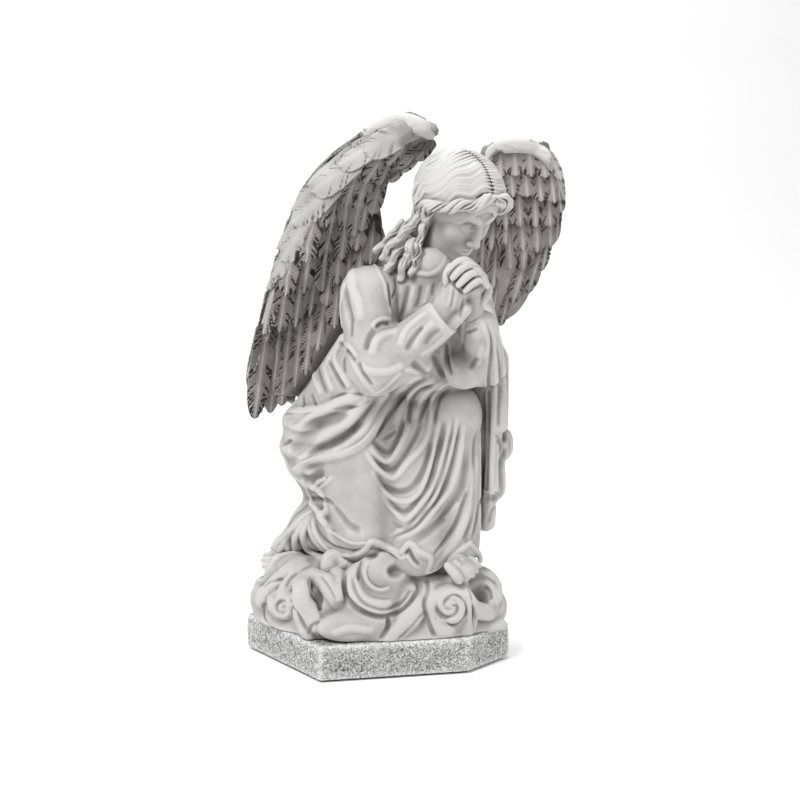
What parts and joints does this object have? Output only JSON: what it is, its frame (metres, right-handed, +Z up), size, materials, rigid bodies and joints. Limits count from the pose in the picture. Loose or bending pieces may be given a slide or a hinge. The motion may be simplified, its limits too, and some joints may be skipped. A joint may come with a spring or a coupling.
{
  "type": "resin angel figurine",
  "caption": "Free-standing cast figurine of a winged angel kneeling in prayer on clouds, on a hexagonal plinth with a felt underside.",
  "frame": {"origin": "middle of the resting face, under the middle of the hexagonal plinth", "axes": "+Z up; the plinth's front edge runs along X; +X to the right of a person in front of the figurine; +Y away from that person"},
  "size_m": [0.2407, 0.1659, 0.3858],
  "materials": {
    "cast_stone": "matt stone-effect cast resin with a thin brown-grey wash in its hollows",
    "washed_stone": "matt stone-effect cast resin with a heavier brown-grey wash",
    "granite_coat": "rough speckled grey granite-effect coat",
    "felt": "short dark felt",
    "plug_rubber": "matt black rubber",
    "steel": "plain drawn steel"
  },
  "bodies": {
    "root": {"felt_sheet": "felt", "filler_plug": "plug_rubber", "plinth": "granite_coat", "cloud_base": "cast_stone", "lower_body": "cast_stone", "upper_body": "cast_stone", "right_arm": "cast_stone", "left_arm": "cast_stone", "hands": "cast_stone", "head": "cast_stone", "mantle": "cast_stone", "right_wing": "washed_stone", "left_wing": "washed_stone", "base_screw_1": "steel", "base_screw_2": "steel", "base_screw_3": "steel", "base_screw_4": "steel", "body_dowel_1": "steel", "body_dowel_2": "steel", "waist_dowel_1": "steel", "waist_dowel_2": "steel", "neck_dowel": "steel", "right_arm_dowel": "steel", "left_arm_dowel": "steel", "right_wrist_dowel": "steel", "left_wrist_dowel": "steel", "mantle_dowel": "steel", "right_wing_dowel_1": "steel", "right_wing_dowel_2": "steel", "left_wing_dowel_1": "steel", "left_wing_dowel_2": "steel"}
  },
  "joints": []
}
